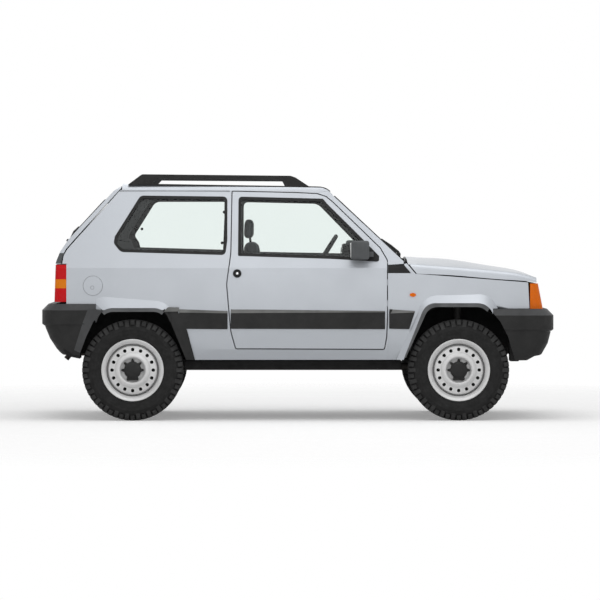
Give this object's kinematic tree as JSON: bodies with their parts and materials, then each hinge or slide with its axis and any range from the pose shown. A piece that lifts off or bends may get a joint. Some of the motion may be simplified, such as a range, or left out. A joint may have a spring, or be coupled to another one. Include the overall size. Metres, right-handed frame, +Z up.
{
  "type": "hatchback",
  "caption": "Boxy three-door hatchback with raised suspension, black bumpers and side strips, roof rails and off-road tyres; doors, bonnet, tailgate, steering and wheels move.",
  "frame": {"origin": "on the road, at the middle of the bounding box", "axes": "+X forward, +Y to the car's left, +Z up"},
  "size_m": [3.408, 1.72, 1.6399],
  "materials": {
    "paint": "metallic",
    "underbody": "matt",
    "glass": "clear",
    "black_plastic": "grained",
    "clear_lens": "clear",
    "amber_lens": "clear",
    "red_lens": "clear",
    "cloth": "matt",
    "cast_iron": "matt",
    "rubber": "matt",
    "wheel_steel": "satin"
  },
  "bodies": {
    "body": {"body_side_left": "paint", "body_side_right": "paint", "dashboard": "black_plastic", "drive_shafts": "cast_iron", "engine": "cast_iron", "engine_bay": "underbody", "exhaust": "cast_iron", "floor_pan": "underbody", "front_bumper": "black_plastic", "front_suspension": "cast_iron", "front_wing_left": "paint", "front_wing_right": "paint", "fuel_tank": "cast_iron", "grille": "black_plastic", "headlamps": "clear_lens", "indicators": "amber_lens", "quarter_windows": "glass", "rear_axle": "cast_iron", "rear_bumper": "black_plastic", "rear_seat": "cloth", "roof_panel": "paint", "roof_rails": "black_plastic", "seat_left": "cloth", "seat_right": "cloth", "side_trim_left": "black_plastic", "side_trim_right": "black_plastic", "tail_lamps": "red_lens", "windscreen": "glass", "wiper": "black_plastic"},
    "steering_wheel": {"steering_wheel": "black_plastic"},
    "bonnet": {"bonnet": "paint"},
    "tailgate": {"tailgate": "paint", "tailgate_glass": "glass"},
    "door_left": {"door_left": "paint", "door_glass_left": "glass", "door_trim_left": "black_plastic"},
    "door_right": {"door_right": "paint", "door_glass_right": "glass", "door_trim_right": "black_plastic"},
    "knuckle_left": {"knuckle_left": "cast_iron"},
    "knuckle_right": {"knuckle_right": "cast_iron"},
    "wheel_front_left": {"rim_front_left": "wheel_steel", "tyre_front_left": "rubber"},
    "wheel_front_right": {"rim_front_right": "wheel_steel", "tyre_front_right": "rubber"},
    "wheel_rear_left": {"rim_rear_left": "wheel_steel", "tyre_rear_left": "rubber"},
    "wheel_rear_right": {"rim_rear_right": "wheel_steel", "tyre_rear_right": "rubber"}
  },
  "joints": [
    {"name": "steer_left", "type": "hinge", "parent": "body", "child": "knuckle_left", "pos_m": [1.07, 0.592, 0.236], "axis": [0, -0.1845, 0.9828], "range_deg": [-30, 30]},
    {"name": "steer_right", "type": "hinge", "parent": "body", "child": "knuckle_right", "pos_m": [1.07, -0.592, 0.236], "axis": [0, 0.1845, 0.9828], "range_deg": [-30, 30]},
    {"name": "roll_front_left", "type": "hinge", "parent": "knuckle_left", "child": "wheel_front_left", "pos_m": [1.07, 0.63, 0.336], "axis": [0, 1, 0], "continuous": true},
    {"name": "roll_rear_left", "type": "hinge", "parent": "body", "child": "wheel_rear_left", "pos_m": [-1.1, 0.63, 0.336], "axis": [0, 1, 0], "continuous": true},
    {"name": "roll_front_right", "type": "hinge", "parent": "knuckle_right", "child": "wheel_front_right", "pos_m": [1.07, -0.63, 0.336], "axis": [0, 1, 0], "continuous": true},
    {"name": "roll_rear_right", "type": "hinge", "parent": "body", "child": "wheel_rear_right", "pos_m": [-1.1, -0.63, 0.336], "axis": [0, 1, 0], "continuous": true},
    {"name": "open_door_left", "type": "hinge", "parent": "body", "child": "door_left", "pos_m": [0.5945, 0.7275, 0.85], "axis": [0, 0, -1], "range_deg": [0, 65]},
    {"name": "open_door_right", "type": "hinge", "parent": "body", "child": "door_right", "pos_m": [0.5945, -0.7275, 0.85], "axis": [0, 0, 1], "range_deg": [0, 65]},
    {"name": "open_bonnet", "type": "hinge", "parent": "body", "child": "bonnet", "pos_m": [0.7285, 0, 1.07], "axis": [0, -1, 0], "range_deg": [0, 55]},
    {"name": "open_tailgate", "type": "hinge", "parent": "body", "child": "tailgate", "pos_m": [-1.1755, 0, 1.562], "axis": [0, 1, 0], "range_deg": [0, 80]},
    {"name": "turn_steering_wheel", "type": "hinge", "parent": "body", "child": "steering_wheel", "pos_m": [0.176, 0.345, 1.073], "axis": [-0.848, 0, 0.53], "range_deg": [-420, 420]}
  ],
  "couplings": [
    {"joint": "steer_right", "follows": "steer_left", "ratio": 1},
    {"joint": "turn_steering_wheel", "follows": "steer_left", "ratio": 14}
  ]
}
